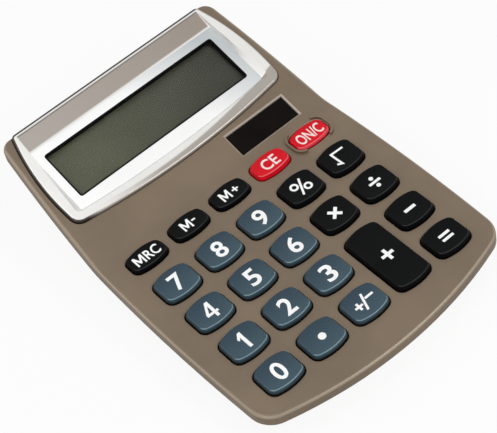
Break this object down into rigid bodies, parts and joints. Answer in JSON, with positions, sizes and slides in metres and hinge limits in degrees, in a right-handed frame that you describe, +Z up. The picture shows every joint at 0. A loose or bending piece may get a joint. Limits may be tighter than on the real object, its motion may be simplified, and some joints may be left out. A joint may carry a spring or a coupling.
{
  "type": "desktop calculator",
  "caption": "Desktop calculator with a raised display deck, solar window, sprung keys, board, rubber domes and a coin-turn battery cover.",
  "frame": {"origin": "middle of the bounding box, on the desk", "axes": "+X to the user's right, +Y towards the display, +Z up"},
  "size_m": [0.1046, 0.1476, 0.0338],
  "materials": {
    "case_plastic": "taupe metallic plastic, fine grain",
    "base_plastic": "dark taupe plastic, fine grain",
    "silver_paint": "satin silver paint on plastic",
    "bright_plate": "bright satin sheet",
    "clear_lens": "clear acrylic",
    "film": "polarising film",
    "lcd": "dark olive liquid crystal cell, off",
    "white_plastic": "white moulded plastic",
    "ribbon": "printed polyester film",
    "dark_lens": "dark clear acrylic",
    "solar": "amorphous silicon on glass",
    "wire": "insulated hook-up wire",
    "board": "paper phenolic laminate",
    "dome_rubber": "silicone rubber",
    "carbon": "conductive rubber",
    "epoxy": "black epoxy",
    "screw_steel": "zinc plated",
    "foot_rubber": "black rubber",
    "cell_steel": "nickel plated steel",
    "contact_metal": "nickel plated spring strip",
    "key_blue": "blue grey moulded plastic",
    "key_black": "black moulded plastic",
    "key_red": "red moulded plastic"
  },
  "bodies": {
    "case": {"top_case": "case_plastic", "bottom_case": "base_plastic", "display_bezel": "silver_paint", "display_plate": "bright_plate", "display_window": "clear_lens", "lcd_polariser": "film", "lcd_glass": "lcd", "lcd_reflector": "film", "lcd_frame": "white_plastic", "lcd_ribbon": "ribbon", "solar_window": "dark_lens", "solar_cell": "solar", "solar_wires": "wire", "circuit_board": "board", "dome_mat": "dome_rubber", "dome_pills": "carbon", "chip_blob": "epoxy", "capacitor": "epoxy", "resistors": "epoxy", "board_screws": "screw_steel", "case_screws": "screw_steel", "rubber_feet": "foot_rubber", "battery_cell": "cell_steel", "battery_contact_plus": "contact_metal", "battery_contact_minus": "contact_metal", "battery_wires": "wire"},
    "battery_cover": {"battery_cover": "base_plastic"},
    "key_memory_recall": {"key_memory_recall": "key_black"},
    "key_memory_minus": {"key_memory_minus": "key_black"},
    "key_memory_plus": {"key_memory_plus": "key_black"},
    "key_clear_entry": {"key_clear_entry": "key_red"},
    "key_on_clear": {"key_on_clear": "key_red"},
    "key_7": {"key_7": "key_blue"},
    "key_8": {"key_8": "key_blue"},
    "key_9": {"key_9": "key_blue"},
    "key_percent": {"key_percent": "key_black"},
    "key_square_root": {"key_square_root": "key_black"},
    "key_4": {"key_4": "key_blue"},
    "key_5": {"key_5": "key_blue"},
    "key_6": {"key_6": "key_blue"},
    "key_multiply": {"key_multiply": "key_black"},
    "key_divide": {"key_divide": "key_black"},
    "key_1": {"key_1": "key_blue"},
    "key_2": {"key_2": "key_blue"},
    "key_3": {"key_3": "key_blue"},
    "key_plus": {"key_plus": "key_black"},
    "key_minus": {"key_minus": "key_black"},
    "key_0": {"key_0": "key_blue"},
    "key_point": {"key_point": "key_blue"},
    "key_change_sign": {"key_change_sign": "key_blue"},
    "key_equals": {"key_equals": "key_black"}
  },
  "joints": [
    {"name": "key_memory_recall_press", "type": "slide", "parent": "case", "child": "key_memory_recall", "axis": [0, 0.0523, -0.9986], "range_m": [0, 0.0012], "stiffness_N_per_m": 350, "springref_m": -0.0012, "deforming": ["dome_mat", "dome_pills"]},
    {"name": "key_memory_minus_press", "type": "slide", "parent": "case", "child": "key_memory_minus", "axis": [0, 0.0523, -0.9986], "range_m": [0, 0.0012], "stiffness_N_per_m": 350, "springref_m": -0.0012, "deforming": ["dome_mat", "dome_pills"]},
    {"name": "key_memory_plus_press", "type": "slide", "parent": "case", "child": "key_memory_plus", "axis": [0, 0.0523, -0.9986], "range_m": [0, 0.0012], "stiffness_N_per_m": 350, "springref_m": -0.0012, "deforming": ["dome_mat", "dome_pills"]},
    {"name": "key_clear_entry_press", "type": "slide", "parent": "case", "child": "key_clear_entry", "axis": [0, 0.0523, -0.9986], "range_m": [0, 0.0012], "stiffness_N_per_m": 350, "springref_m": -0.0012, "deforming": ["dome_mat", "dome_pills"]},
    {"name": "key_on_clear_press", "type": "slide", "parent": "case", "child": "key_on_clear", "axis": [0, 0.0523, -0.9986], "range_m": [0, 0.0012], "stiffness_N_per_m": 350, "springref_m": -0.0012, "deforming": ["dome_mat", "dome_pills"]},
    {"name": "key_7_press", "type": "slide", "parent": "case", "child": "key_7", "axis": [0, 0.0523, -0.9986], "range_m": [0, 0.0012], "stiffness_N_per_m": 350, "springref_m": -0.0012, "deforming": ["dome_mat", "dome_pills"]},
    {"name": "key_8_press", "type": "slide", "parent": "case", "child": "key_8", "axis": [0, 0.0523, -0.9986], "range_m": [0, 0.0012], "stiffness_N_per_m": 350, "springref_m": -0.0012, "deforming": ["dome_mat", "dome_pills"]},
    {"name": "key_9_press", "type": "slide", "parent": "case", "child": "key_9", "axis": [0, 0.0523, -0.9986], "range_m": [0, 0.0012], "stiffness_N_per_m": 350, "springref_m": -0.0012, "deforming": ["dome_mat", "dome_pills"]},
    {"name": "key_percent_press", "type": "slide", "parent": "case", "child": "key_percent", "axis": [0, 0.0523, -0.9986], "range_m": [0, 0.0012], "stiffness_N_per_m": 350, "springref_m": -0.0012, "deforming": ["dome_mat", "dome_pills"]},
    {"name": "key_square_root_press", "type": "slide", "parent": "case", "child": "key_square_root", "axis": [0, 0.0523, -0.9986], "range_m": [0, 0.0012], "stiffness_N_per_m": 350, "springref_m": -0.0012, "deforming": ["dome_mat", "dome_pills"]},
    {"name": "key_4_press", "type": "slide", "parent": "case", "child": "key_4", "axis": [0, 0.0523, -0.9986], "range_m": [0, 0.0012], "stiffness_N_per_m": 350, "springref_m": -0.0012, "deforming": ["dome_mat", "dome_pills"]},
    {"name": "key_5_press", "type": "slide", "parent": "case", "child": "key_5", "axis": [0, 0.0523, -0.9986], "range_m": [0, 0.0012], "stiffness_N_per_m": 350, "springref_m": -0.0012, "deforming": ["dome_mat", "dome_pills"]},
    {"name": "key_6_press", "type": "slide", "parent": "case", "child": "key_6", "axis": [0, 0.0523, -0.9986], "range_m": [0, 0.0012], "stiffness_N_per_m": 350, "springref_m": -0.0012, "deforming": ["dome_mat", "dome_pills"]},
    {"name": "key_multiply_press", "type": "slide", "parent": "case", "child": "key_multiply", "axis": [0, 0.0523, -0.9986], "range_m": [0, 0.0012], "stiffness_N_per_m": 350, "springref_m": -0.0012, "deforming": ["dome_mat", "dome_pills"]},
    {"name": "key_divide_press", "type": "slide", "parent": "case", "child": "key_divide", "axis": [0, 0.0523, -0.9986], "range_m": [0, 0.0012], "stiffness_N_per_m": 350, "springref_m": -0.0012, "deforming": ["dome_mat", "dome_pills"]},
    {"name": "key_1_press", "type": "slide", "parent": "case", "child": "key_1", "axis": [0, 0.0523, -0.9986], "range_m": [0, 0.0012], "stiffness_N_per_m": 350, "springref_m": -0.0012, "deforming": ["dome_mat", "dome_pills"]},
    {"name": "key_2_press", "type": "slide", "parent": "case", "child": "key_2", "axis": [0, 0.0523, -0.9986], "range_m": [0, 0.0012], "stiffness_N_per_m": 350, "springref_m": -0.0012, "deforming": ["dome_mat", "dome_pills"]},
    {"name": "key_3_press", "type": "slide", "parent": "case", "child": "key_3", "axis": [0, 0.0523, -0.9986], "range_m": [0, 0.0012], "stiffness_N_per_m": 350, "springref_m": -0.0012, "deforming": ["dome_mat", "dome_pills"]},
    {"name": "key_plus_press", "type": "slide", "parent": "case", "child": "key_plus", "axis": [0, 0.0523, -0.9986], "range_m": [0, 0.0012], "stiffness_N_per_m": 350, "springref_m": -0.0012, "deforming": ["dome_mat", "dome_pills"]},
    {"name": "key_minus_press", "type": "slide", "parent": "case", "child": "key_minus", "axis": [0, 0.0523, -0.9986], "range_m": [0, 0.0012], "stiffness_N_per_m": 350, "springref_m": -0.0012, "deforming": ["dome_mat", "dome_pills"]},
    {"name": "key_0_press", "type": "slide", "parent": "case", "child": "key_0", "axis": [0, 0.0523, -0.9986], "range_m": [0, 0.0012], "stiffness_N_per_m": 350, "springref_m": -0.0012, "deforming": ["dome_mat", "dome_pills"]},
    {"name": "key_point_press", "type": "slide", "parent": "case", "child": "key_point", "axis": [0, 0.0523, -0.9986], "range_m": [0, 0.0012], "stiffness_N_per_m": 350, "springref_m": -0.0012, "deforming": ["dome_mat", "dome_pills"]},
    {"name": "key_change_sign_press", "type": "slide", "parent": "case", "child": "key_change_sign", "axis": [0, 0.0523, -0.9986], "range_m": [0, 0.0012], "stiffness_N_per_m": 350, "springref_m": -0.0012, "deforming": ["dome_mat", "dome_pills"]},
    {"name": "key_equals_press", "type": "slide", "parent": "case", "child": "key_equals", "axis": [0, 0.0523, -0.9986], "range_m": [0, 0.0012], "stiffness_N_per_m": 350, "springref_m": -0.0012, "deforming": ["dome_mat", "dome_pills"]},
    {"name": "battery_cover_turn", "type": "hinge", "parent": "case", "child": "battery_cover", "pos_m": [0.01201, 0.03929, 0.001], "axis": [0, 0, 1], "range_deg": [0, 60]}
  ]
}
